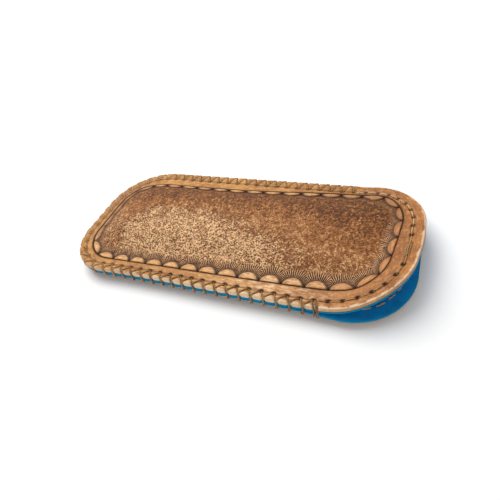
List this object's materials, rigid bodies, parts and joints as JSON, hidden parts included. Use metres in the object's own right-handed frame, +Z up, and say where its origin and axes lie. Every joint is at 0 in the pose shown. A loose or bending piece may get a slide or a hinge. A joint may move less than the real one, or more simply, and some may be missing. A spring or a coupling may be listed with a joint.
{
  "type": "eyeglasses case",
  "caption": "Soft leather eyeglasses sleeve: two lined leather panels laced together on three sides, with a flexing open mouth at one end.",
  "frame": {"origin": "centre of the footprint, on the surface the case rests on", "axes": "+X along the case towards the open mouth, +Y across it, +Z up through the tooled top panel"},
  "size_m": [0.1774, 0.08, 0.0169],
  "materials": {
    "tooled_leather": "stamped and antiqued veg-tanned leather, satin",
    "plain_leather": "smooth tan veg-tanned leather, satin",
    "lining": "thin blue suede-like lining leather, matte",
    "lacing_thread": "waxed brown twisted thread"
  },
  "bodies": {
    "pouch": {"bottom_panel": "plain_leather", "bottom_lining": "lining", "top_panel": "tooled_leather", "top_lining": "lining", "edge_lacing": "lacing_thread", "bottom_mouth_stitching": "lacing_thread"},
    "upper_lip": {"top_panel_lip": "tooled_leather", "top_lining_lip": "lining", "top_mouth_stitching": "lacing_thread"}
  },
  "joints": [
    {"name": "mouth_flex", "type": "hinge", "parent": "pouch", "child": "upper_lip", "pos_m": [0.05375, 0, 0.00488], "axis": [0, -1, 0], "range_deg": [-2, 14], "stiffness_Nm_per_rad": 0.35}
  ]
}
